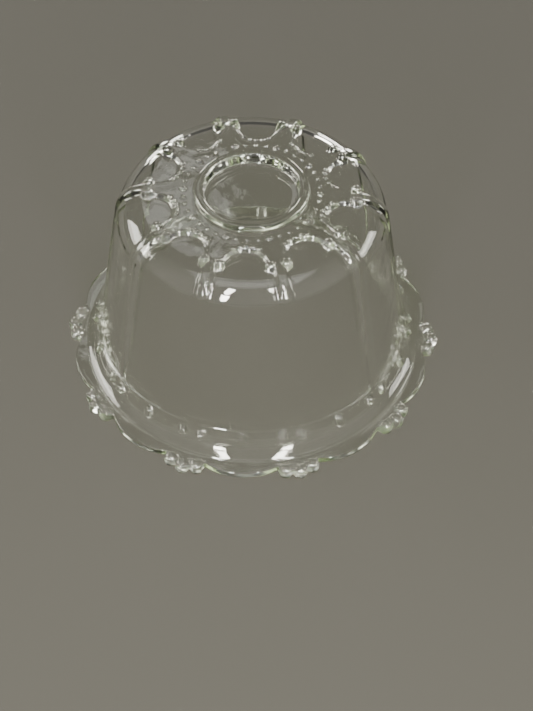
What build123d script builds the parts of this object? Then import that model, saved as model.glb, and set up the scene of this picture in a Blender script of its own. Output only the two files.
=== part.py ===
from build123d import *
import math
import os

# Pressed glass candy dish, one piece of clear glass, drawn mouth down.
# Millimetres and degrees. The rim rests on z = 0, the foot ring is on top,
# +Z runs from the mouth to the foot, and one rib lies over the +X axis.
# Each node is one moulded region of the pressing, and the regions meet face to face.

# ---------------------------------------------------------------- driving sizes
panel_count = 10            # ribs, arches, scallops and pearl clusters all share this count
bowl_height = 85.2          # rim plane to the top of the foot ring
body_radius = 63.75         # outside of the wall, on a rib, at the height of the pearl band
wall_draft = 9.4            # lean of the wall, in degrees from vertical
shoulder_radius = 13.6      # rounding between the base and the wall, on a rib
wall_thickness = 3.0        # panel to the smooth inside
floor_thickness = 3.1       # base panel to the smooth inside
relief = 1.6                # how far the base plate stands above the panels
rib_height_high = 0.9       # how far a rib stands above the panels at the shoulder
rib_height_low = 0.3        # how far a rib stands above the panels where it meets the belt
rib_width = 4.2             # across one wall rib

foot_height = 2.3           # foot ring above the base plate
foot_width = 4.1            # foot ring, inside to outside
foot_land = 1.7             # flat that the dish stands on when it is in use
deck_width = 18.0           # from the foot ring out to the start of the shoulder

tongue_width = 6.9          # base plate left between two neighbouring arches
arch_inset = 0.8            # arch centres sit this far inside the start of the shoulder
tongue_overrun = 0.9        # the tongues end this far beyond the start of the shoulder

base_pearl_radius = 1.35
seed_pearl_radius = 0.75
seeds_between = 3           # seed pearls between two base pearls
arch_bead_radius = 0.85
arch_bead_count = 5
arch_bead_pitch = 2.6
arch_bead_setback = 1.1     # bead centres to the edge of the arch
shoulder_pearl_radius = 2.15
shoulder_pearl_half_gap = 3.1    # rib centre line to the centre of a shoulder pearl
shoulder_pearl_sink = 0.3   # pearl centre below the base plate

band_height = 10.2          # centres of the pearls round the lower wall
band_pearl_radius = 2.0
band_pearl_half_gap = 3.7   # rib centre line to the centre of a band pearl
band_pearl_stand = 0.2      # pearl centre outside the belt
drop_radius = 1.9           # the long drop in the middle of each panel
drop_length = 1.8           # between the centres of the drop's two round ends

collar_top = 14.0           # the collar and its belt take over from the wall here
belt_bottom = 7.2           # lower edge of the straight belt that carries the pearls
belt_spread = 3.1           # the belt's lower edge stands this much further out than its upper one
flare_top = 12.2            # the wall behind the belt starts to turn outwards here
flare_width = 5.95          # from the wall out to the step
step_height = 3.5           # collar edge above the rim plane
mouth_lip_width = 3.2       # flat underside of the collar, from the step in to the mouth
mouth_turn_height = 10.5    # the inside starts to turn outwards here

flange_thickness = 2.7
flange_edge_round = 0.6
flange_waist = 2.6          # flange width beside a pearl cluster
flange_crest = 5.8          # flange width in the middle of a scallop
scallop_radius = 25.5

rim_pearl_radius = 2.9
rim_pearl_pitch = 5.35      # sideways between neighbouring pearls of one cluster
rim_pearl_centre_height = 2.0
rim_pearl_reach = 4.35      # step to the centre of a side pearl
rim_pearl_middle_out = 1.4  # the middle pearl stands this much further out

# ---------------------------------------------------------------- sizes that follow
panel_angle = 360 / panel_count
half_panel = panel_angle / 2
draft_slope = math.tan(math.radians(wall_draft))
turn_tangent = math.tan(math.radians((90 - wall_draft) / 2))

plate_top = bowl_height - foot_height
panel_top = plate_top - relief
inside_top = panel_top - floor_thickness


def rib_line(z):
    """Radius of the wall's outside along a rib."""
    return body_radius + draft_slope * (band_height - z)


panel_corner = rib_line(panel_top) - rib_height_high
panel_foot = rib_line(flare_top) - rib_height_low
panel_slope = (panel_foot - panel_corner) / (panel_top - flare_top)
wall_shift = wall_thickness * math.hypot(1, panel_slope)
belt_slope = belt_spread / (collar_top - belt_bottom)


def panel_line(z):
    """Radius of the wall's outside in the middle of a panel."""
    return panel_foot + panel_slope * (flare_top - z)


def belt_line(z):
    """Radius of the belt's outside."""
    return rib_line(collar_top) + belt_slope * (collar_top - z)


def inside_line(z):
    """Radius of the smooth inside."""
    return panel_line(z) - wall_shift


deck_end = rib_line(plate_top) - shoulder_radius * turn_tangent
foot_radius = deck_end - deck_width
wall_top = plate_top - shoulder_radius
arch_centre = deck_end - arch_inset
arch_radius = arch_centre * math.sin(math.radians(half_panel)) - tongue_width / 2
tongue_end = deck_end + tongue_overrun
pearl_circle = (foot_radius + arch_centre - arch_radius) / 2
step_radius = rib_line(band_height) + flare_width
mouth_radius = step_radius - mouth_lip_width


# ---------------------------------------------------------------- helpers
def spun(face):
    """Solid of revolution, with its seam in clear glass between a rib and the middle of a panel."""
    return Rot(0, 0, half_panel / 2) * revolve(Plane.XZ * face, Axis.Z)


def cup(corner, turn_radius, foot, turn_tip, top):
    """Solid under one revolved outline: flat top, rounded shoulder, leaning wall, outward turn at the rim."""
    outline = [
        Line((0, 0), (0, top)),
        *FilletPolyline((0, top), (corner, top), foot, radius=turn_radius).edges(),
        TangentArc(foot, turn_tip, tangent=(foot[0] - corner, foot[1] - top)),
        Polyline(turn_tip, (turn_tip[0], 0), (0, 0)) if turn_tip[1] > 0 else Line(turn_tip, (0, 0)),
    ]
    face = make_face([edge for part in outline for edge in (part.edges() if hasattr(part, "edges") else [part])])
    return spun(face)


def disc(radius, low, high):
    """Upright round block between two heights."""
    return Pos(0, 0, low) * Cylinder(radius, high - low, align=(Align.CENTER, Align.CENTER, Align.MIN))


def around(shape, first_angle=0.0):
    """The same solid once for every panel, turned about the dish's axis."""
    return [Rot(0, 0, first_angle + panel_angle * i) * shape for i in range(panel_count)]


def solids_of(shapes):
    """Flat list of the solids in a list of shapes."""
    return [solid for shape in shapes for solid in shape.solids()]


def save(name, shapes):
    """Write one node."""
    solids = solids_of(shapes if isinstance(shapes, list) else [shapes])
    export_step(solids[0] if len(solids) == 1 else Compound(children=solids), f"parts/{name}.step")


# ---------------------------------------------------------------- the shell
def outer_cup():
    """Everything inside the panel surface, with the collar and its step."""
    return cup(panel_corner, shoulder_radius - relief, (panel_foot, flare_top),
               (step_radius, step_height), panel_top)


def inner_cup():
    """The smooth hollow that the plunger leaves."""
    foot = (inside_line(mouth_turn_height), mouth_turn_height)
    return cup(inside_line(inside_top), shoulder_radius - relief - wall_thickness, foot,
               (mouth_radius, 0), inside_top)


def raised_layer(outer):
    """The thin layer between the panel surface and the raised surface of the plate and ribs."""
    outline = FilletPolyline((0, plate_top), (rib_line(plate_top), plate_top),
                             (rib_line(collar_top), collar_top), radius=shoulder_radius)
    close = Polyline((rib_line(collar_top), collar_top), (0, collar_top), (0, plate_top))
    face = make_face([*outline.edges(), *close.edges()])
    return spun(face) - outer


def star_prism():
    """Outline of the base plate: a disc bitten by one arch in every panel."""
    bite = Cylinder(arch_radius, bowl_height) + Pos(arch_radius, 0, 0) * Box(
        2 * arch_radius, 2 * arch_radius, bowl_height)
    star = Cylinder(tongue_end, bowl_height)
    for one in around(Pos(arch_centre, 0, 0) * bite, half_panel):
        star = star - one
    return Pos(0, 0, bowl_height / 2) * star


def foot_ring():
    """Rounded ring with a flat land that the dish stands on."""
    inner = foot_radius - foot_width
    slope = (foot_width - foot_land) / 2
    outline = Polyline((inner, panel_top), (foot_radius, panel_top),
                       (foot_radius, bowl_height - slope), (foot_radius - slope, bowl_height),
                       (inner + slope, bowl_height), (inner, bowl_height - slope), close=True)
    ring_face = make_face(outline.edges())
    upper_corners = [corner for corner in ring_face.vertices() if corner.Y > plate_top]
    ring_face = fillet(upper_corners, slope / 2)
    return spun(ring_face)


def rib(layer):
    """One soft rib down the wall, from the end of a tongue to the collar."""
    reach = step_radius
    strip = Pos(reach / 2, 0, bowl_height / 2) * Box(reach, rib_width, bowl_height)
    return (layer & strip) - disc(tongue_end, 0, bowl_height)


# ---------------------------------------------------------------- pearls
def on_circle(shape, radius, angle, height):
    """Place a shape at a radius, angle and height."""
    return Rot(0, 0, angle) * Pos(radius, 0, height) * shape


def base_pearl():
    """One pearl on the base plate, on a rib's line."""
    return on_circle(Sphere(base_pearl_radius), pearl_circle, 0, plate_top)


def seed_pearls():
    """The seed pearls between one base pearl and the next."""
    step = panel_angle / (seeds_between + 1)
    return [on_circle(Sphere(seed_pearl_radius), pearl_circle, step * (i + 1), plate_top)
            for i in range(seeds_between)]


def arch_beads():
    """The row of beads along the crown of one arch, centred on the +X axis."""
    row_radius = arch_radius + arch_bead_setback
    step = math.degrees(arch_bead_pitch / row_radius)
    first = 180 - step * (arch_bead_count - 1) / 2
    beads = []
    for i in range(arch_bead_count):
        angle = math.radians(first + step * i)
        x = arch_centre + row_radius * math.cos(angle)
        beads.append(Pos(x, row_radius * math.sin(angle), plate_top) * Sphere(arch_bead_radius))
    return beads


def shoulder_pearl(side):
    """One of the two large pearls at the end of a tongue."""
    angle = math.degrees(math.asin(shoulder_pearl_half_gap / deck_end))
    return on_circle(Sphere(shoulder_pearl_radius), deck_end, side * angle,
                     plate_top - shoulder_pearl_sink)


def belt(outer):
    """Straight leaning belt round the collar, between the ribs and the outward turn."""
    outline = Polyline((0, collar_top), (belt_line(collar_top), collar_top),
                       (belt_line(belt_bottom), belt_bottom), (0, belt_bottom), close=True)
    return spun(make_face(outline.edges())) - outer


def band_pearl(side):
    """One of the two pearls at the lower end of a rib."""
    radius = belt_line(band_height) + band_pearl_stand
    angle = math.degrees(math.asin(band_pearl_half_gap / radius))
    return on_circle(Sphere(band_pearl_radius), radius, side * angle, band_height)


def panel_drop():
    """The long drop at the lower end of a panel, upright along the belt."""
    ends = [Pos(0, 0, side * drop_length / 2) * Sphere(drop_radius) for side in (-1, 1)]
    drop = Cylinder(drop_radius, drop_length) + ends
    lean = math.degrees(math.atan(belt_slope))
    return Pos(belt_line(band_height), 0, band_height) * Rot(0, -lean, 0) * drop


def rim_cluster():
    """Three pearls in a row on the rim, fused where they touch, centred on the +X axis."""
    side_radius = step_radius + rim_pearl_reach
    turn = math.degrees(math.asin(rim_pearl_pitch / side_radius))
    stem = Cylinder(rim_pearl_radius, rim_pearl_centre_height, align=(Align.CENTER, Align.CENTER, Align.MIN))
    dome = Pos(0, 0, rim_pearl_centre_height) * Sphere(rim_pearl_radius)
    stud = stem + (dome - Pos(0, 0, -rim_pearl_radius) * Box(
        2 * rim_pearl_radius, 2 * rim_pearl_radius, 2 * rim_pearl_radius))
    cluster = Pos(side_radius + rim_pearl_middle_out, 0, 0) * stud
    for side in (-1, 1):
        cluster = cluster + Rot(0, 0, side * turn) * Pos(side_radius, 0, 0) * stud
    return cluster


def rim_flange(clusters):
    """The flat scalloped flange outside the step, notched for the pearl clusters."""
    def rounded(radius):
        plate = disc(radius, 0, flange_thickness)
        return fillet(plate.edges().filter_by(GeomType.CIRCLE), flange_edge_round)
    centre = step_radius + flange_crest - scallop_radius
    flange = rounded(step_radius + flange_waist)
    for lobe in around(Pos(centre, 0, 0) * rounded(scallop_radius), half_panel):
        flange = flange + lobe
    flange = flange - disc(step_radius, -1, bowl_height)
    for cluster in clusters:
        flange = flange - cluster
    return flange


# ---------------------------------------------------------------- build and write
os.makedirs("parts", exist_ok=True)

outer = outer_cup()
shell = outer - inner_cup()
layer = raised_layer(outer)
star = star_prism()
big = 2 * (step_radius + flange_crest)

base_block = disc(foot_radius, 0, bowl_height)
save("base_disc", shell & base_block)
save("foot_ring", foot_ring())
save("shoulder", (shell - base_block) & disc(big, wall_top, bowl_height))
save("bowl_wall", shell & disc(big, collar_top, wall_top))
save("rim_collar", shell & disc(big, 0, collar_top))

base_plate = (layer & star) - base_block
one_rib = rib(layer)
save("base_plate", base_plate)
save("wall_ribs", around(one_rib))

plate_ground = disc(big, 0, plate_top)
save("base_pearls", around(base_pearl() - plate_ground))
seeds = [seed - plate_ground for seed in seed_pearls()]
save("seed_pearls", [turned for seed in seeds for turned in around(seed)])
beads = [bead - plate_ground for bead in arch_beads()]
save("arch_beads", [turned for bead in beads for turned in around(bead, half_panel)])

shoulder_pair = [shoulder_pearl(side) - outer - base_plate - one_rib for side in (-1, 1)]
save("shoulder_pearls", [turned for pearl in shoulder_pair for turned in around(pearl)])
collar_belt = belt(outer)
save("collar_belt", collar_belt)
band_pair = [band_pearl(side) - outer - collar_belt for side in (-1, 1)]
save("band_pearls", [turned for pearl in band_pair for turned in around(pearl)])
save("panel_drops", around(panel_drop() - outer - collar_belt, half_panel))

clusters = around(rim_cluster())
save("rim_pearls", clusters)
save("rim_flange", rim_flange(clusters))
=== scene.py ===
"""Pressed glass candy dish, standing mouth down.

The glass is one skin, worked out row by row from the recessed floor inside the foot ring,
over the base, wall and scalloped rim, round the edge and up the smooth inside.
Lengths in the functions are metres, and angles are radians unless a name says otherwise.
"""

import math

import bpy
import numpy as np
from bpy.props import FloatProperty, FloatVectorProperty, IntProperty, PointerProperty
from bpy.types import Operator, Panel, PropertyGroup
from mathutils import Euler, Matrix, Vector


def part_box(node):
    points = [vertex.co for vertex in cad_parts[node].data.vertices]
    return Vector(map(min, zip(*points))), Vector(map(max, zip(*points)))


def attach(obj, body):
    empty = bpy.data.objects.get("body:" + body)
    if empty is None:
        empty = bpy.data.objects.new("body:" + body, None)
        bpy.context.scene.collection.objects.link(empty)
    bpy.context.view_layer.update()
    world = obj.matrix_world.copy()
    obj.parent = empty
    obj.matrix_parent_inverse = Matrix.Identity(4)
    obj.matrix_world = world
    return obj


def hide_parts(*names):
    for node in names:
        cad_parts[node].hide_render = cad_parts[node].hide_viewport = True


bl_info = {
    "name": "Pressed Glass Candy Dish",
    "version": (1, 0, 0),
    "blender": (4, 5, 0),
    "location": "View3D > Sidebar > Candy Dish",
    "description": "Builds a pressed glass dish with ribs, arches, pearls and a scalloped rim",
    "category": "Add Mesh",
}

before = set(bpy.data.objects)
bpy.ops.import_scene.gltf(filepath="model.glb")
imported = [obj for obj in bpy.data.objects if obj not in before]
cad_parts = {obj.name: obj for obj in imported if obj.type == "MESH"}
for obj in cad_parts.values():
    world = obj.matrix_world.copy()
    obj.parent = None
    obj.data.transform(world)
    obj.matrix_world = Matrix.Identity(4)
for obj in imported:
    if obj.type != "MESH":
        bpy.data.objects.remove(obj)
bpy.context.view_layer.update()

MM = 0.001
PANELS = 10
PANEL = 2 * math.pi / PANELS
HALF_PANEL = PANEL / 2

# Columns round the skin: among pearls and beads, on smoother stretches, and on plain surfaces.
FINE, MIDDLING, COARSE = 720, 360, 180
# How strongly the columns crowd towards the rim's clusters, and towards the belt's pearls and drops.
RIM_DRAW, BELT_DRAW = 0.62, 0.45
# Pearls meet the glass in a fillet of this share of their radius.
PEARL_BLEND = 0.16
# Centres of the pearls and beads on the base lie below the plate by this share of their radius.
EMBEDDED = 0.25
# Fillet between the foot ring and the base plate.
FOOT_FILLET = 0.3 * MM
SWELL_SCALE = 55.0
DAYLIGHT = (1.0, 0.975, 0.89)
WHITE = (1.0, 1.0, 1.0)


def top_of(node):
    """Height of a node's highest point."""
    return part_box(node)[1].z


def reach_of(node):
    """How far a node reaches along +X, which is the radius of a round one."""
    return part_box(node)[1].x


def length(name, description, default):
    """A size that a user can change."""
    return FloatProperty(name=name, description=description, default=default, min=0.0,
                         subtype="DISTANCE", unit="LENGTH", precision=5)


# ---------------------------------------------------------------- settings
class DishSizes(PropertyGroup):
    """Sizes of the glass, taken from the frame where the frame holds them."""

    height: length("Height", "Rim plane to the top of the foot ring", top_of("foot_ring"))
    plate_top: length("Base plate", "Height of the raised base plate", top_of("base_plate"))
    panel_top: length("Base panel", "Height of the base between the points of the plate",
                      top_of("base_disc"))
    floor: length("Floor", "Glass between the base panel and the inside", 3.1 * MM)
    wall: length("Wall", "Glass between a panel and the inside", 3.0 * MM)
    body_radius: length("Body radius", "Outside of a rib at the pearl band", 63.75 * MM)
    draft: FloatProperty(name="Draft", description="Lean of the wall from vertical",
                         default=math.radians(9.4), subtype="ANGLE", unit="ROTATION")
    shoulder: length("Shoulder", "Rounding between the base and the wall", 13.6 * MM)
    rib_width: length("Rib width", "Across one wall rib", 4.2 * MM)
    rib_high: length("High rib height", "Rib above the panels at the shoulder", 0.9 * MM)
    rib_low: length("Low rib height", "Rib above the panels at the belt", 0.3 * MM)
    foot_radius: length("Foot radius", "Outside of the foot ring", reach_of("foot_ring"))
    foot_width: length("Foot width", "Foot ring, inside to outside", 4.1 * MM)
    tongue: length("Tongue", "Base plate left between two arches", 6.9 * MM)
    arch_inset: length("Arch inset", "Arch centres inside the start of the shoulder", 0.8 * MM)
    overrun: length("Overrun", "Tongue ends beyond the start of the shoulder", 0.9 * MM)
    collar_top: length("Collar top", "Top of the collar", top_of("rim_collar"))
    belt_bottom: length("Belt bottom", "Lower edge of the belt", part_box("collar_belt")[0].z)
    belt_reach: length("Belt reach", "Radius of the belt's lower edge", reach_of("collar_belt"))
    flare_top: length("Flare top", "The wall starts to turn outwards here", 12.2 * MM)
    step_radius: length("Step radius", "Edge of the collar", reach_of("rim_collar"))
    step_height: length("Step height", "Edge of the collar above the rim plane", 3.5 * MM)
    mouth_lip: length("Mouth lip", "Flat underside from the step in to the mouth", 3.2 * MM)
    mouth_turn: length("Mouth turn", "The inside starts to turn outwards here", 10.5 * MM)
    flange: length("Flange", "Thickness of the flange", top_of("rim_flange"))
    flange_waist: length("Flange waist", "Flange width beside a pearl cluster", 2.6 * MM)
    flange_crest: length("Flange crest", "Flange width in the middle of a scallop", 5.8 * MM)
    scallop: length("Scallop", "Radius of one scallop's edge", 25.5 * MM)


class PearlSizes(PropertyGroup):
    """Sizes and places of the moulded pearls."""

    base: length("Base pearl", "Radius of a pearl on the base plate", 1.35 * MM)
    seed: length("Seed pearl", "Radius of a seed pearl", 0.75 * MM)
    bead: length("Arch bead", "Radius of a bead along an arch", 0.85 * MM)
    bead_pitch: length("Bead pitch", "Between neighbouring arch beads", 2.6 * MM)
    bead_setback: length("Bead setback", "Bead centres to the edge of the arch", 1.1 * MM)
    bead_count: IntProperty(name="Arch beads", description="Beads along one arch", default=5,
                            min=1)
    shoulder: length("Shoulder pearl", "Radius of a shoulder pearl", 2.15 * MM)
    shoulder_gap: length("Shoulder half gap", "Rib line to a shoulder pearl", 3.1 * MM)
    sink: length("Sink", "Shoulder pearl centre below the base plate", 0.3 * MM)
    band: length("Band pearl", "Radius of a pearl on the band", 2.0 * MM)
    band_height: length("Band height", "Centres of the band pearls", 10.2 * MM)
    band_gap: length("Band half gap", "Rib line to a band pearl", 3.7 * MM)
    band_stand: length("Band stand", "Band pearl centre outside the belt", 0.2 * MM)
    drop: length("Drop", "Radius of the long drop in a panel", 1.9 * MM)
    drop_length: length("Drop length", "Between the centres of a drop's ends", 1.8 * MM)
    rim: length("Rim pearl", "Radius of a rim pearl", 2.9 * MM)
    rim_height: length("Rim pearl height", "Centre of a rim pearl", 2.0 * MM)
    rim_pitch: length("Rim pitch", "Sideways between neighbouring rim pearls", 5.35 * MM)
    rim_reach: length("Rim reach", "Step to the centre of a side pearl", 4.35 * MM)
    rim_middle: length("Middle out", "The middle pearl stands this much further out", 1.4 * MM)


class GlassLooks(PropertyGroup):
    """Colour and finish of the glass."""

    tint: FloatVectorProperty(name="Tint", description="Cast of the glass in its thick edges",
                              default=(0.80, 0.87, 0.68), subtype="COLOR", min=0, max=1)
    depth: FloatProperty(name="Absorption", description="How fast the tint builds up, per metre",
                         default=24.0, min=0)
    ior: FloatProperty(name="IOR", description="Refractive index of pressed glass", default=1.52,
                       min=1)
    polish: FloatProperty(name="Roughness", description="Lowest roughness, on fire-polished glass",
                          default=0.012, min=0, max=1)
    wear: FloatProperty(name="Wear", description="Extra roughness of rubbed and dusty places",
                        default=0.10, min=0, max=1)


class StageLooks(PropertyGroup):
    """Floor, light and camera."""

    floor: FloatVectorProperty(name="Floor", description="Colour of the floor",
                               default=(0.049, 0.0475, 0.0415), subtype="COLOR", min=0, max=1)
    sky: FloatVectorProperty(name="Sky", description="Colour of the room's soft light",
                             default=(0.52, 0.50, 0.47), subtype="COLOR", min=0, max=1)
    sky_strength: FloatProperty(name="Sky strength", description="Strength of the sky at the back",
                                default=0.14, min=0)
    sky_front: FloatProperty(name="Sky front", description="The front is this many times brighter",
                             default=8.0, min=0)
    lens: FloatProperty(name="Lens", description="Focal length on a 36 mm sensor, in millimetres",
                        default=75.5, min=1)
    distance: length("Distance", "Camera to the middle of the rim plane", 635.6 * MM)
    aim_right: length("Aim right", "View centre to the right of the dish's middle", 5.84 * MM)
    aim_near: length("Aim near", "View centre nearer than the dish's middle", 12.06 * MM)
    elevation: FloatProperty(name="Elevation", description="Camera above the horizon",
                             default=math.radians(48.67), subtype="ANGLE", unit="ROTATION")
    azimuth: FloatProperty(name="Azimuth", description="Camera turned from -Y towards +X",
                           default=math.radians(3.8), subtype="ANGLE", unit="ROTATION")
    roll: FloatProperty(name="Roll", description="Tilt of the camera about its view",
                        default=math.radians(0.3), subtype="ANGLE", unit="ROTATION")


# ---------------------------------------------------------------- curves and blends
def smooth_max(a, b, blend):
    """The larger of a and b; where they are nearer than blend, a parabola rounds the crease."""
    near = np.clip(blend - np.abs(a - b), 0, None) / blend
    return np.maximum(a, b) + near * near * blend / 4


def smooth_step(low, high, x):
    """0 below low, 1 above high, and the cubic 3t^2 - 2t^3 between them."""
    t = np.clip((x - low) / (high - low), 0, 1)
    return t * t * (3 - 2 * t)


def straight(start, end, count):
    """count rows along a line, without its last point: (radius, height, normal r, normal z)."""
    t = np.arange(count) / count
    dr, dz = end[0] - start[0], end[1] - start[1]
    span = math.hypot(dr, dz)
    return np.stack([start[0] + dr * t, start[1] + dz * t,
                     np.full(count, -dz / span), np.full(count, dr / span)], 1)


def bend(start, heading, end, count):
    """count rows along the circular arc that leaves start at the angle heading and reaches end.

    The arc turns by twice the angle between the heading and the chord, so its curvature is
    k = 2 sin(b) / chord, and a point on it is start + (sin(a) - sin(h), cos(h) - cos(a)) / k,
    where a runs from the heading h to h + 2b.
    """
    chord = math.hypot(end[0] - start[0], end[1] - start[1])
    off = math.atan2(end[1] - start[1], end[0] - start[0]) - heading
    off = math.atan2(math.sin(off), math.cos(off))
    k = 2 * math.sin(off) / chord
    a = heading + 2 * off * np.arange(count) / count
    return np.stack([start[0] + (np.sin(a) - math.sin(heading)) / k,
                     start[1] + (math.cos(heading) - np.cos(a)) / k,
                     -np.sin(a), np.cos(a)], 1)


def direction(start, end):
    """Direction from start to end, as an angle in the radius-height plane."""
    return math.atan2(end[1] - start[1], end[0] - start[0])


# ---------------------------------------------------------------- the dish's own geometry
class Shape:
    """Radii, heights and lines that follow from the sizes.

    A line gives the radius at a height: of the ribs' crests, the panels, the inside and the belt.
    A slope is how far such a line moves out for each unit down, and steep is the wall's direction.
    """

    def __init__(self, d, p):
        slope = math.tan(d.draft)
        self.d, self.p = d, p
        self.rib_line = lambda z: d.body_radius + slope * (p.band_height - z)
        relief = d.plate_top - d.panel_top
        corner = self.rib_line(d.panel_top) - d.rib_high
        low = self.rib_line(d.flare_top) - d.rib_low
        self.relief = relief
        self.panel_slope = (low - corner) / (d.panel_top - d.flare_top)
        self.panel_line = lambda z: low + self.panel_slope * (d.flare_top - z)
        shift = d.wall * math.hypot(1, self.panel_slope)
        self.inside_line = lambda z: self.panel_line(z) - shift
        self.inside_top = d.panel_top - d.floor
        turn = math.tan((math.pi / 2 - d.draft) / 2)
        self.deck_end = self.rib_line(d.plate_top) - d.shoulder * turn
        self.arch_centre = self.deck_end - d.arch_inset
        self.arch_radius = self.arch_centre * math.sin(HALF_PANEL) - d.tongue / 2
        self.tongue_end = self.deck_end + d.overrun
        self.pearl_circle = (d.foot_radius + self.arch_centre - self.arch_radius) / 2
        mouth = d.step_radius - d.mouth_lip
        self.lip_foot = (mouth + 1.0 * MM, 0.0)
        self.lip_top = (mouth, 0.35 * MM)
        self.steep = -math.pi / 2 + math.atan(self.panel_slope)
        belt_start = self.rib_line(d.collar_top)
        self.belt_slope = (d.belt_reach - belt_start) / (d.collar_top - d.belt_bottom)
        self.belt_line = lambda z: belt_start + self.belt_slope * (d.collar_top - z)
        above = d.collar_top + 0.6 * MM
        self.above_belt = (self.panel_line(above), above)

    def corner(self, line, slope, top, radius):
        """Start and end of the rounding between a level surface and a leaning wall."""
        lean = math.atan(slope)
        reach = radius * math.tan((math.pi / 2 - lean) / 2)
        knee = line(top)
        start = (knee - reach, top)
        end = (knee + reach * math.sin(lean), top - reach * math.cos(lean))
        return start, end


def folded(theta):
    """Angle from the nearest rib, from 0 on a rib to half a panel, as everything is mirrored."""
    return np.abs((theta + HALF_PANEL) % PANEL - HALF_PANEL)


def plate_and_ribs(shape, r, z, nz, angle):
    """Height of the base plate and ribs above the panels.

    The plate reaches to the nearer of the arch's edge and the tongue's end; a rib is a strip of
    constant width. The signed distance to the larger of the two runs through a smooth step.
    """
    d = shape.d
    along = r * np.cos(HALF_PANEL - angle) - shape.arch_centre
    across = r * np.sin(HALF_PANEL - angle)
    to_arch = np.hypot(np.minimum(along, 0), across) - shape.arch_radius
    to_end = shape.tongue_end - r
    plate = np.minimum(to_arch, to_end)
    rib = d.rib_width / 2 - r * np.sin(angle)
    bevel = 0.95 * MM
    joint = 0.8 * MM
    widened = 0.2 * MM
    under_belt = 1.0 * MM
    edge = smooth_max(plate, rib, joint) + widened
    down = np.clip((d.panel_top - z) / (d.panel_top - d.flare_top), 0, 1)
    on_wall = d.rib_high + (d.rib_low - d.rib_high) * down
    height = on_wall + (shape.relief - on_wall) * nz ** 2
    return height * (z > d.collar_top - under_belt) * smooth_step(-bevel, bevel, edge)


def belt_height(shape, r, z, nr, nz):
    """Height of the belt above the turning wall: how far along each normal the belt's line lies.

    The line passes the belt's lower edge with normal m, so the height is (edge - point).m / n.m,
    eased in and out at the belt's two edges.
    """
    d = shape.d
    span = math.hypot(1, shape.belt_slope)
    mr, mz = 1 / span, shape.belt_slope / span
    height = ((d.belt_reach - r) * mr + (d.belt_bottom - z) * mz) / (nr * mr + nz * mz)
    ease = 0.35 * MM
    inside = np.minimum(z - d.belt_bottom, d.collar_top - z)
    return height * smooth_step(-ease, ease, inside)


def pearl_height(points, normals, centre, radius):
    """How far along each normal a sphere's far side lies, or -1 where the normal misses it.

    With v = centre - point and b = v.n, that is b + sqrt(b^2 - |v|^2 + radius^2).
    """
    v = centre - points
    b = (v * normals).sum(-1)
    inside = b * b - (v * v).sum(-1) + radius * radius
    return np.where(inside > 0, b + np.sqrt(np.maximum(inside, 0)), -1.0)


def at(radius, angle, height):
    """A point at a radius, angle from the rib and height."""
    return np.array([radius * math.cos(angle), radius * math.sin(angle), height])


def deck_pearls(shape):
    """Centres and radii of the pearls and beads on the base, in the folded wedge."""
    d, p = shape.d, shape.p
    seed_step = PANEL / 4
    found = [(at(shape.pearl_circle, 0, d.plate_top - EMBEDDED * p.base), p.base)]
    for step in (1, 2):
        spot = at(shape.pearl_circle, step * seed_step, d.plate_top - EMBEDDED * p.seed)
        found.append((spot, p.seed))
    row = shape.arch_radius + p.bead_setback
    middle = np.array([math.cos(HALF_PANEL), math.sin(HALF_PANEL)])
    side = np.array([middle[1], -middle[0]])
    for i in range(p.bead_count):
        turn = (i - (p.bead_count - 1) / 2) * p.bead_pitch / row
        spot = middle * (shape.arch_centre - row * math.cos(turn)) + side * row * math.sin(turn)
        found.append((np.array([*spot, d.plate_top - EMBEDDED * p.bead]), p.bead))
    angle = math.asin(p.shoulder_gap / shape.deck_end)
    found.append((at(shape.deck_end, angle, d.plate_top - p.sink), p.shoulder))
    return found


def band_pearls(shape):
    """Centres and radii of the pearls on the band."""
    p = shape.p
    radius = shape.belt_line(p.band_height) + p.band_stand
    return [(at(radius, math.asin(p.band_gap / radius), p.band_height), p.band)]


def relief_of(shape, r, z, nr, nz, theta):
    """Everything that stands out of the panel surface, as a height along its normal."""
    p = shape.p
    near_belt = 6 * MM
    angle = folded(theta)
    height = plate_and_ribs(shape, r, z, nz, angle)
    if z.max() < shape.d.collar_top + near_belt:
        height = np.maximum(height, belt_height(shape, r, z, nr, nz))
    points = np.stack([r * np.cos(angle), r * np.sin(angle), z + 0 * angle], -1)
    normals = np.stack([nr * np.cos(angle), nr * np.sin(angle), nz + 0 * angle], -1)
    for centre, radius in deck_pearls(shape) + band_pearls(shape):
        stands = pearl_height(points, normals, centre, radius)
        height = smooth_max(height, stands, PEARL_BLEND * radius)
    spot = at(shape.belt_line(p.band_height), HALF_PANEL, p.band_height)
    lean = np.array([-shape.belt_slope * math.cos(HALF_PANEL),
                     -shape.belt_slope * math.sin(HALF_PANEL), 1.0])
    lean /= np.linalg.norm(lean)
    half = p.drop_length / 2
    run = np.clip(((points - spot) * lean).sum(-1), -half, half)
    centre = spot + run[..., None] * lean
    drop = pearl_height(points, normals, centre, p.drop)
    return smooth_max(height, drop, PEARL_BLEND * p.drop)


# ---------------------------------------------------------------- the rim
def scallop_edge(shape, angle):
    """Radius of the flange's edge: the scallop's circle, or the waist where that lies further out."""
    d = shape.d
    crease = 0.6 * MM
    centre = d.step_radius + d.flange_crest - d.scallop
    off = HALF_PANEL - angle
    circle = centre * np.cos(off) + np.sqrt(d.scallop ** 2 - (centre * np.sin(off)) ** 2)
    return smooth_max(circle, d.step_radius + d.flange_waist, crease)


def rim_centres(shape):
    """Plan positions of the rim pearls in the folded wedge."""
    d, p = shape.d, shape.p
    side = d.step_radius + p.rim_reach
    return [(side + p.rim_middle, 0.0), (side, math.asin(p.rim_pitch / side))]


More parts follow.
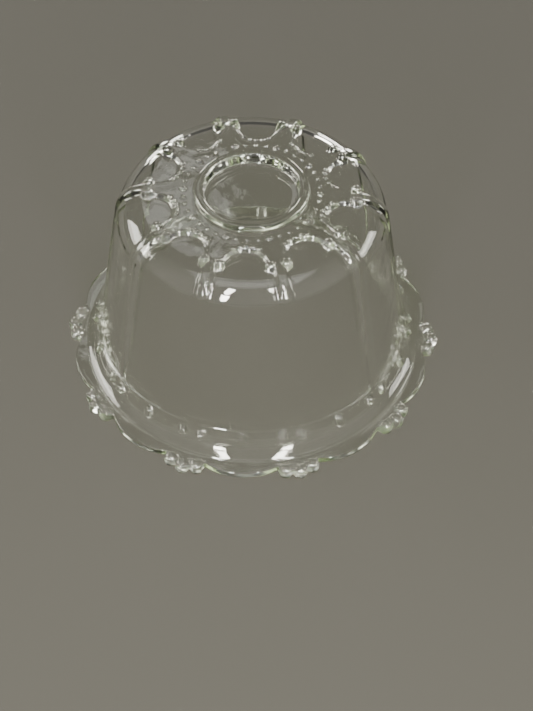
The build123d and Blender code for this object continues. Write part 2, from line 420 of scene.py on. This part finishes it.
def lobe_edge(shape, angle):
    """Radius of the clusters' outline: each pearl's far side, with the creases rounded."""
    crease = 0.9 * MM
    edge = np.zeros_like(angle)
    for radius, place in rim_centres(shape):
        off = angle - place
        inside = shape.p.rim ** 2 - (radius * np.sin(off)) ** 2
        far = radius * np.cos(off) + np.sqrt(np.maximum(inside, 0))
        edge = smooth_max(edge, np.where(inside > 0, far, 0), crease)
    return edge


def rim_surface(shape, share, theta):
    """Radius and height of the flange and its pearls; share is 0 at the step and 1 at the edge.

    The height is the largest of the flange, rounded at its own edge by a quarter ellipse, and each
    pearl's sphere, z = centre + sqrt(radius^2 - distance^2). Also returned are the edge's radius and
    the height where its upright side begins.
    """
    d, p = shape.d, shape.p
    soft = 0.6 * MM
    outline_crease, dome_crease = 0.25 * MM, 0.3 * MM
    change = 0.5 * MM
    angle = folded(theta)
    flange_out = scallop_edge(shape, angle)
    lobes = lobe_edge(shape, angle)
    out = smooth_max(flange_out, lobes, outline_crease)
    r = d.step_radius + (out - d.step_radius) * share
    on_lobe = smooth_step(-change, change, lobes - flange_out)
    middle = d.flange - soft + (p.rim_height - d.flange + soft) * on_lobe
    inward = np.clip((flange_out - r) / soft, 0, 1)
    z = middle + np.maximum(d.flange - middle, 0) * np.sqrt(1 - (1 - inward) ** 2)
    for radius, place in rim_centres(shape):
        dx = r * np.cos(angle) - radius * math.cos(place)
        dy = r * np.sin(angle) - radius * math.sin(place)
        inside = p.rim ** 2 - dx * dx - dy * dy
        dome = np.where(inside > 0, p.rim_height + np.sqrt(np.maximum(inside, 0)), 0)
        z = smooth_max(z, dome, dome_crease)
    return r, z, out, middle


# ---------------------------------------------------------------- the skin
def columns(count, first=0.0, second=0.0):
    """Angles of one row's columns, or of several rows' where first and second are lists.

    v runs evenly round the dish, and subtracting first * sin and second * sin of its panel phase
    draws the columns towards the ribs, or towards both the ribs and the panels' middles.
    """
    first, second = (np.reshape(x, (-1, 1)) for x in (first, second))
    v = np.arange(count) / count * PANELS
    once, twice = 2 * np.pi, 4 * np.pi
    v = v - first * np.sin(once * v) / once - second * np.sin(twice * v) / twice
    return v * PANEL


class Skin:
    """The skin's rows in order, each as (angles, radii, heights) over its own count of columns."""

    def __init__(self, shape):
        self.shape = shape
        self.rows = []

    def plain(self, profile, count, first=0.0):
        """Rows of a profile that is simply turned round the axis."""
        theta = columns(count, np.broadcast_to(first, len(profile)))
        for i, (r, z, _, _) in enumerate(profile):
            self.rows.append((theta[i], np.full(count, r), np.full(count, z)))

    def figured(self, profile, count, first=0.0, second=0.0):
        """Rows of a turned profile with the relief added along its normals."""
        theta = columns(count, *(np.broadcast_to(x, len(profile)) for x in (first, second)))
        r, z, nr, nz = (profile[:, i, None] for i in range(4))
        height = relief_of(self.shape, r, z, nr, nz, theta)
        out_r, out_z = r + nr * height, z + nz * height
        for i in range(len(profile)):
            self.rows.append((theta[i], out_r[i], out_z[i]))


def foot_rows(skin):
    """The recessed disc, and the foot ring with its rounded crest."""
    d = skin.shape.d
    inner, outer = d.foot_radius - d.foot_width, d.foot_radius
    pole = 3 * MM
    cove = 0.7 * MM
    lean = 0.35 * MM
    side_top = (inner + lean, d.height - 1.3 * MM)
    crest_in = (inner + 1.4 * MM, d.height)
    crest_out = (outer - 1.3 * MM, d.height)
    outer_top = (outer, d.height - 1.1 * MM)
    disc_edge = (inner - cove, d.panel_top)
    side_foot = (inner, d.panel_top + cove)
    outer_foot = (outer, d.plate_top + FOOT_FILLET)
    skin.plain(straight((pole, d.panel_top), disc_edge, 5), COARSE)
    skin.plain(np.concatenate([
        bend(disc_edge, 0, side_foot, 4),
        straight(side_foot, side_top, 2),
        bend(side_top, direction(side_foot, side_top), crest_in, 5),
        straight(crest_in, crest_out, 2),
        bend(crest_out, 0, outer_top, 5),
        straight(outer_top, outer_foot, 2),
        bend(outer_foot, -math.pi / 2, (outer + FOOT_FILLET, d.plate_top), 3),
    ]), MIDDLING)


def base_and_wall_rows(skin):
    """The figured base, the shoulder and the leaning wall, down to just above the belt."""
    shape, d = skin.shape, skin.shape.d
    top = d.panel_top
    ring = shape.pearl_circle
    beside = 1.5 * MM
    arches = shape.arch_centre - shape.arch_radius - 1.9 * MM
    start = d.foot_radius + FOOT_FILLET
    knee, wall_start = shape.corner(shape.panel_line, shape.panel_slope, top,
                                    d.shoulder - shape.relief)
    skin.figured(np.concatenate([
        straight((start, top), (ring - beside, top), 3),
        straight((ring - beside, top), (ring + beside, top), 12),
        straight((ring + beside, top), (arches, top), 1),
        straight((arches, top), knee, 28),
    ]), FINE)
    arc = bend(knee, 0, wall_start, 30)
    skin.figured(arc[:10], FINE)
    skin.figured(arc[10::2], MIDDLING)
    skin.figured(straight(wall_start, shape.above_belt, 11), MIDDLING)


def collar_rows(skin):
    """The belt with its pearls and drops, the outward turn and the small step."""
    shape, d = skin.shape, skin.shape.d
    round_off = 0.5 * MM
    above_flange = 0.05 * MM
    flare = (shape.panel_line(d.flare_top), d.flare_top)
    edge = (d.step_radius - round_off, d.step_height)
    turned = bend(flare, shape.steep, edge, 28)
    skin.figured(straight(shape.above_belt, flare, 7), FINE, 0.0, BELT_DRAW)
    skin.figured(turned[:14], FINE, 0.0, BELT_DRAW)
    skin.figured(turned[14::2], MIDDLING, np.linspace(0, RIM_DRAW, 7), np.linspace(BELT_DRAW, 0, 7))
    step_side = (d.step_radius, d.step_height - round_off)
    skin.plain(np.concatenate([
        bend(edge, direction(turned[-1, :2], edge), step_side, 5),
        straight(step_side, (d.step_radius, d.flange + above_flange), 2),
    ]), MIDDLING, RIM_DRAW)


def rim_rows(skin):
    """The scalloped flange with its pearls, its rounded edge and its flat underside."""
    shape = skin.shape
    under = 0.5 * MM
    theta = columns(FINE, RIM_DRAW)[0]
    share = np.concatenate([[0.01], np.sin(np.linspace(0.06, 1, 16) * np.pi / 2)])
    r, z, out, middle = rim_surface(shape, share[:, None], theta[None, :])
    for i in range(len(share)):
        skin.rows.append((theta, r[i], z[i]))
    skin.rows.append((theta, out[0], (middle[0] + under) / 2))
    for turn in np.linspace(0, np.pi / 2, 4):
        height = np.full(FINE, under * (1 - np.sin(turn)))
        skin.rows.append((theta, out[0] - under * (1 - np.cos(turn)), height))

    theta = columns(MIDDLING, RIM_DRAW)[0]
    inset = rim_surface(shape, 1.0, theta)[2] - under
    for part in (0.35, 0.7):
        skin.rows.append((theta, inset + (shape.lip_foot[0] - inset) * part, np.zeros(MIDDLING)))


def inside_rows(skin):
    """The smooth inside, from the mouth's lip up to the floor."""
    shape, d = skin.shape, skin.shape.d
    pole = 4 * MM
    turn_top = (shape.inside_line(d.mouth_turn), d.mouth_turn)
    knee, wall_end = shape.corner(shape.inside_line, shape.panel_slope, shape.inside_top,
                                  d.shoulder - shape.relief - d.wall)
    down = bend(turn_top, shape.steep, shape.lip_top, 9)
    inside = np.concatenate([
        bend(shape.lip_foot, math.pi, shape.lip_top, 3),
        np.array([[*shape.lip_top, 0, 0]]),
        down[:0:-1],
        straight(turn_top, wall_end, 12),
        bend(wall_end, shape.steep + math.pi, knee, 10),
        straight(knee, (pole, shape.inside_top), 7),
    ])
    skin.plain(inside, COARSE, np.linspace(RIM_DRAW, 0, len(inside)))


def skin_rows(shape):
    """All rows, from the disc inside the foot ring round the rim and back up the inside."""
    skin = Skin(shape)
    for section in (foot_rows, base_and_wall_rows, collar_rows, rim_rows, inside_rows):
        section(skin)
    return skin.rows


def stitch(counts):
    """Quads between rows of one count, and three triangles a cell where the count doubles or halves."""
    starts = np.concatenate([[0], np.cumsum(counts)])
    faces = []
    for i in range(len(counts) - 1):
        a, b = counts[i], counts[i + 1]
        n = min(a, b)
        k = np.arange(n)
        after = (k + 1) % n
        if a == b:
            above, below = starts[i], starts[i + 1]
            quads = np.stack([above + k, below + k, below + after, above + after], 1)
            faces.extend(quads.tolist())
            continue
        few, many = (starts[i], starts[i + 1]) if a < b else (starts[i + 1], starts[i])
        double = (2 * k, 2 * k + 1, (2 * k + 2) % (2 * n))
        fans = [np.stack([few + k, many + double[0], many + double[1]], 1),
                np.stack([few + k, many + double[1], few + after], 1),
                np.stack([few + after, many + double[1], many + double[2]], 1)]
        for fan in fans:
            faces.extend((fan if a < b else fan[:, ::-1]).tolist())
    return faces


def waviness(points):
    """Slow swell of fire-polished glass: a sum of sines in height and angle, in metres."""
    depth = 0.035 * MM
    x, y, z = (points[:, i] / MM for i in range(3))
    angle = np.arctan2(y, x)
    swell = (np.sin(3 * angle + 0.11 * z + 0.4) + 0.8 * np.sin(7 * angle - 0.17 * z + 1.9)
             + 0.6 * np.sin(0.23 * z + 2 * angle + 0.8) + 0.4 * np.sin(13 * angle + 0.31 * z))
    return depth * swell


def dish_mesh(shape):
    """The closed skin as a mesh: the rows with the swell on the wall, and one point at each pole."""
    rows = skin_rows(shape)
    theta, r, z = (np.concatenate([row[i] for row in rows]) for i in range(3))
    points = np.stack([r * np.cos(theta), r * np.sin(theta), z], 1)
    off_base = smooth_step(30 * MM, 50 * MM, r)
    off_belt = smooth_step(14 * MM, 22 * MM, z)
    off_top = smooth_step(0, 4 * MM, shape.d.panel_top - z)
    swell = waviness(points) * (off_base * off_belt * off_top)
    points[:, 0] += swell * np.cos(theta)
    points[:, 1] += swell * np.sin(theta)
    counts = [len(row[0]) for row in rows]
    faces = stitch(counts)
    top, bottom = len(points), len(points) + 1
    poles = np.array([[0, 0, shape.d.panel_top], [0, 0, shape.inside_top]])
    points = np.concatenate([points, poles])
    n = counts[0]
    faces.extend([top, i, (i + 1) % n] for i in range(n))
    n = counts[-1]
    first = top - n
    faces.extend([bottom, first + (i + 1) % n, first + i] for i in range(n))
    mesh = bpy.data.meshes.new("glass_dish")
    mesh.from_pydata(points.tolist(), [], faces)
    mesh.validate()
    mesh.polygons.foreach_set("use_smooth", np.ones(len(mesh.polygons), bool))
    mesh.update()
    return mesh


# ---------------------------------------------------------------- glass
def group(name, inputs, outputs):
    """A new shader node group with its sockets: (name, kind, default) in, (name, kind) out."""
    tree = bpy.data.node_groups.new(name, "ShaderNodeTree")
    for label, kind, value in inputs:
        socket = tree.interface.new_socket(label, in_out="INPUT", socket_type=kind)
        if value is not None:
            socket.default_value = value
    for label, kind in outputs:
        tree.interface.new_socket(label, in_out="OUTPUT", socket_type=kind)
    return tree, tree.nodes.new("NodeGroupInput"), tree.nodes.new("NodeGroupOutput")


def noise(tree, vector, scale, detail, roughness=0.5):
    """A noise texture on a vector."""
    node = tree.nodes.new("ShaderNodeTexNoise")
    node.inputs["Scale"].default_value = scale
    node.inputs["Detail"].default_value = detail
    node.inputs["Roughness"].default_value = roughness
    tree.links.new(vector, node.inputs["Vector"])
    return node.outputs["Fac"]


def remap(tree, value, low, high, to_low, to_high):
    """A Map Range node from low..high to to_low..to_high."""
    node = tree.nodes.new("ShaderNodeMapRange")
    node.inputs["From Min"].default_value = low
    node.inputs["From Max"].default_value = high
    node.inputs["To Min"].default_value = to_low
    node.inputs["To Max"].default_value = to_high
    tree.links.new(value, node.inputs["Value"])
    return node.outputs["Result"]


def fire_polish_group():
    """Uneven skin of pressed glass: swell and fine chill marks as a height, and specks of wear."""
    tree, given, result = group(
        "fire_polish",
        [("Vector", "NodeSocketVector", None), ("Swell Scale", "NodeSocketFloat", SWELL_SCALE)],
        [("Height", "NodeSocketFloat"), ("Wear", "NodeSocketFloat")])
    links = tree.links
    swell = noise(tree, given.outputs["Vector"], SWELL_SCALE, 2.0)
    links.new(given.outputs["Swell Scale"], swell.node.inputs["Scale"])
    mark_depth = 0.06
    marks = noise(tree, given.outputs["Vector"], 420.0, 3.0)
    add = tree.nodes.new("ShaderNodeMath")
    add.operation = "MULTIPLY_ADD"
    add.inputs[1].default_value = mark_depth
    links.new(marks, add.inputs[0])
    links.new(swell, add.inputs[2])
    links.new(add.outputs[0], result.inputs["Height"])
    rubbed = noise(tree, given.outputs["Vector"], 900.0, 6.0, 0.7)
    links.new(remap(tree, rubbed, 0.62, 0.80, 0.0, 1.0), result.inputs["Wear"])
    return tree


def clear_glass(looks):
    """Clear pressed glass: smooth, faintly yellow-green where it is thick, rubbed in specks.

    Shadow rays pass straight through, so the dish throws the light shadow of clear glass.
    """
    material = bpy.data.materials.new("clear_pressed_glass")
    material.use_nodes = True
    tree = material.node_tree
    nodes, links = tree.nodes, tree.links
    nodes.clear()
    place = nodes.new("ShaderNodeTexCoord")
    polish = nodes.new("ShaderNodeGroup")
    polish.node_tree = fire_polish_group()
    polish.inputs["Swell Scale"].default_value = SWELL_SCALE
    links.new(place.outputs["Object"], polish.inputs["Vector"])
    bump = nodes.new("ShaderNodeBump")
    bump.inputs["Strength"].default_value = 0.35
    bump.inputs["Distance"].default_value = 0.6 * MM
    links.new(polish.outputs["Height"], bump.inputs["Height"])
    glass = nodes.new("ShaderNodeBsdfPrincipled")
    glass.inputs["Base Color"].default_value = (1, 1, 1, 1)
    glass.inputs["Metallic"].default_value = 0.0
    glass.inputs["Transmission Weight"].default_value = 1.0
    glass.inputs["IOR"].default_value = looks.ior
    links.new(remap(tree, polish.outputs["Wear"], 0, 1, looks.polish, looks.polish + looks.wear),
              glass.inputs["Roughness"])
    links.new(bump.outputs["Normal"], glass.inputs["Normal"])
    clear = nodes.new("ShaderNodeBsdfTransparent")
    clear.inputs["Color"].default_value = (0.96, 0.965, 0.955, 1)
    path = nodes.new("ShaderNodeLightPath")
    mix = nodes.new("ShaderNodeMixShader")
    links.new(path.outputs["Is Shadow Ray"], mix.inputs[0])
    links.new(glass.outputs[0], mix.inputs[1])
    links.new(clear.outputs[0], mix.inputs[2])
    depth = nodes.new("ShaderNodeVolumeAbsorption")
    depth.inputs["Color"].default_value = (*looks.tint, 1)
    depth.inputs["Density"].default_value = looks.depth
    out = nodes.new("ShaderNodeOutputMaterial")
    links.new(mix.outputs[0], out.inputs["Surface"])
    links.new(depth.outputs[0], out.inputs["Volume"])
    return material


# ---------------------------------------------------------------- stage
def plain_floor(looks):
    """Matt floor with a soft, slightly uneven tone."""
    uneven = 0.06
    material = bpy.data.materials.new("plain_floor")
    material.use_nodes = True
    tree = material.node_tree
    surface = tree.nodes["Principled BSDF"]
    place = tree.nodes.new("ShaderNodeTexCoord")
    tone = noise(tree, place.outputs["Object"], 2.2, 2.0)
    mix = tree.nodes.new("ShaderNodeMix")
    mix.data_type = "RGBA"
    mix.inputs["A"].default_value = (*(c * (1 - uneven) for c in looks.floor), 1)
    mix.inputs["B"].default_value = (*(c * (1 + uneven) for c in looks.floor), 1)
    tree.links.new(tone, mix.inputs["Factor"])
    tree.links.new(mix.outputs["Result"], surface.inputs["Base Color"])
    surface.inputs["Roughness"].default_value = 0.85
    surface.inputs["Specular IOR Level"].default_value = 0.2
    return material


def soft_light(name, place, target, size, power, color=WHITE):
    """A rectangular area light aimed at a point."""
    lamp = bpy.data.lights.new(name, "AREA")
    lamp.shape = "RECTANGLE"
    lamp.size, lamp.size_y = size
    lamp.energy = power
    lamp.color = color
    ob = bpy.data.objects.new(name, lamp)
    bpy.context.scene.collection.objects.link(ob)
    ob.location = place
    ob.rotation_euler = (target - place).to_track_quat("-Z", "Y").to_euler()


def camera_axes(looks):
    """Unit vectors of the view: right, away from the camera along the floor, and to the camera."""
    a, e = looks.azimuth, looks.elevation
    right = Vector((math.cos(a), math.sin(a), 0))
    away = Vector((-math.sin(a), math.cos(a), 0))
    towards = -away * math.cos(e) + Vector((0, 0, math.sin(e)))
    return right, away, towards


def add_floor(looks):
    """A square floor just under the rim."""
    half = 3.0
    gap = 0.02 * MM
    mesh = bpy.data.meshes.new("floor")
    mesh.from_pydata([(-half, -half, 0), (half, -half, 0), (half, half, 0), (-half, half, 0)],
                     [], [(0, 1, 2, 3)])
    mesh.materials.append(plain_floor(looks))
    floor = bpy.data.objects.new("floor", mesh)
    bpy.context.scene.collection.objects.link(floor)
    floor.location.z = -gap


def add_room(looks):
    """Even soft light of a room that is brighter in front of the dish than behind it."""
    horizon = 0.35
    world = bpy.data.worlds.new("room")
    world.use_nodes = True
    tree = world.node_tree
    back = tree.nodes["Background"]
    back.inputs["Color"].default_value = (*looks.sky, 1)
    way = tree.nodes.new("ShaderNodeTexCoord")
    split = tree.nodes.new("ShaderNodeSeparateXYZ")
    tree.links.new(way.outputs["Generated"], split.inputs["Vector"])
    bright = looks.sky_strength * looks.sky_front
    strength = remap(tree, split.outputs["Y"], -horizon, horizon, bright, looks.sky_strength)
    tree.links.new(strength, back.inputs["Strength"])
    bpy.context.scene.world = world


def add_lights(right, away):
    """Two tall windows in front, two panes behind, a strip and a ceiling above, one pane each side."""
    up = Vector((0, 0, 1))
    middle = 40 * MM * up

    def pane(name, sideways, depth, height, size, power, color=DAYLIGHT):
        place = middle + right * sideways + away * depth + up * height
        soft_light(name, place, middle, size, power, color)

    for side, name in ((-1, "left"), (1, "right")):
        pane(f"window_{name}_low", side * 0.42, -1.10, 0.52, (0.12, 0.46), 24.0)
        pane(f"window_{name}_high", side * 0.42, -1.10, 1.36, (0.12, 0.60), 24.0)
        pane(f"back_{name}", side * 0.45, 1.3, 0.28, (0.3, 0.3), 8.0)
    pane("overhead", -0.19, 1.0, 1.02, (0.32, 0.12), 0.15, WHITE)
    pane("side_left", -1.25, 0.45, 0.62, (0.7, 0.6), 15.0)
    pane("ceiling", 0.0, -0.2, 1.5, (1.4, 0.7), 4.0, WHITE)
    pane("side_right", 1.3, 0.3, 0.30, (0.5, 0.4), 5.5)


def add_camera(looks, right, away, towards):
    """The camera, at its distance from the middle of the rim plane."""
    data = bpy.data.cameras.new("camera")
    data.sensor_width = 36.0
    data.lens = looks.lens
    camera = bpy.data.objects.new("camera", data)
    bpy.context.scene.collection.objects.link(camera)
    camera.location = towards * looks.distance
    target = right * looks.aim_right - away * looks.aim_near
    aim = (target - camera.location).to_track_quat("-Z", "Y")
    camera.rotation_mode = "QUATERNION"
    camera.rotation_quaternion = aim @ Euler((0, 0, looks.roll)).to_quaternion()
    bpy.context.scene.camera = camera


def trace_through_glass(cycles):
    """Enough bounces for light to leave the thick edges, and no light focused onto the floor."""
    cycles.max_bounces = 64
    cycles.transmission_bounces = 64
    cycles.glossy_bounces = 16
    cycles.caustics_reflective = False
    cycles.caustics_refractive = False


# ---------------------------------------------------------------- operators
class GLASSDISH_OT_dish(Operator):
    """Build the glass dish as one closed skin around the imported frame"""

    bl_idname = "glassdish.dish"
    bl_label = "Build Dish"

    def execute(self, context):
        scene = context.scene
        shape = Shape(scene.dish_sizes, scene.dish_pearls)
        mesh = dish_mesh(shape)
        if len(mesh.polygons) == 0:
            raise RuntimeError("the dish has no faces")
        dish = bpy.data.objects.new("glass_dish", mesh)
        scene.collection.objects.link(dish)
        mesh.materials.append(clear_glass(scene.dish_glass))
        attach(dish, "root")
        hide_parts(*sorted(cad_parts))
        return {"FINISHED"}


class GLASSDISH_OT_stage(Operator):
    """Lay the floor and set the lights and the camera"""

    bl_idname = "glassdish.stage"
    bl_label = "Set Stage"

    def execute(self, context):
        looks = context.scene.dish_stage
        right, away, towards = camera_axes(looks)
        add_floor(looks)
        add_room(looks)
        add_lights(right, away)
        add_camera(looks, right, away, towards)
        trace_through_glass(context.scene.cycles)
        return {"FINISHED"}


class GLASSDISH_PT_panel(Panel):
    """Sidebar panel that lists the steps and sizes of the dish"""

    bl_idname = "GLASSDISH_PT_panel"
    bl_label = "Candy Dish"
    bl_space_type = "VIEW_3D"
    bl_region_type = "UI"
    bl_category = "Candy Dish"

    def draw(self, context):
        layout = self.layout
        for operator in OPERATORS:
            layout.operator(operator.bl_idname)
        for name, _ in SETTINGS:
            box = layout.box()
            settings = getattr(context.scene, name)
            for key in settings.__annotations__:
                box.prop(settings, key)


SETTINGS = (("dish_sizes", DishSizes), ("dish_pearls", PearlSizes),
            ("dish_glass", GlassLooks), ("dish_stage", StageLooks))
OPERATORS = (GLASSDISH_OT_dish, GLASSDISH_OT_stage)


def register():
    """Register the classes and hang the settings on the scene."""
    for _, kind in SETTINGS:
        bpy.utils.register_class(kind)
    for kind in (*OPERATORS, GLASSDISH_PT_panel):
        bpy.utils.register_class(kind)
    for name, kind in SETTINGS:
        setattr(bpy.types.Scene, name, PointerProperty(type=kind))


def unregister():
    """Take the settings and classes away again."""
    for name, _ in SETTINGS:
        delattr(bpy.types.Scene, name)
    for kind in (GLASSDISH_PT_panel, *reversed(OPERATORS)):
        bpy.utils.unregister_class(kind)
    for _, kind in reversed(SETTINGS):
        bpy.utils.unregister_class(kind)


def main():
    """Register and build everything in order."""
    register()
    bpy.ops.glassdish.dish()
    bpy.ops.glassdish.stage()


if __name__ == "__main__":
    main()
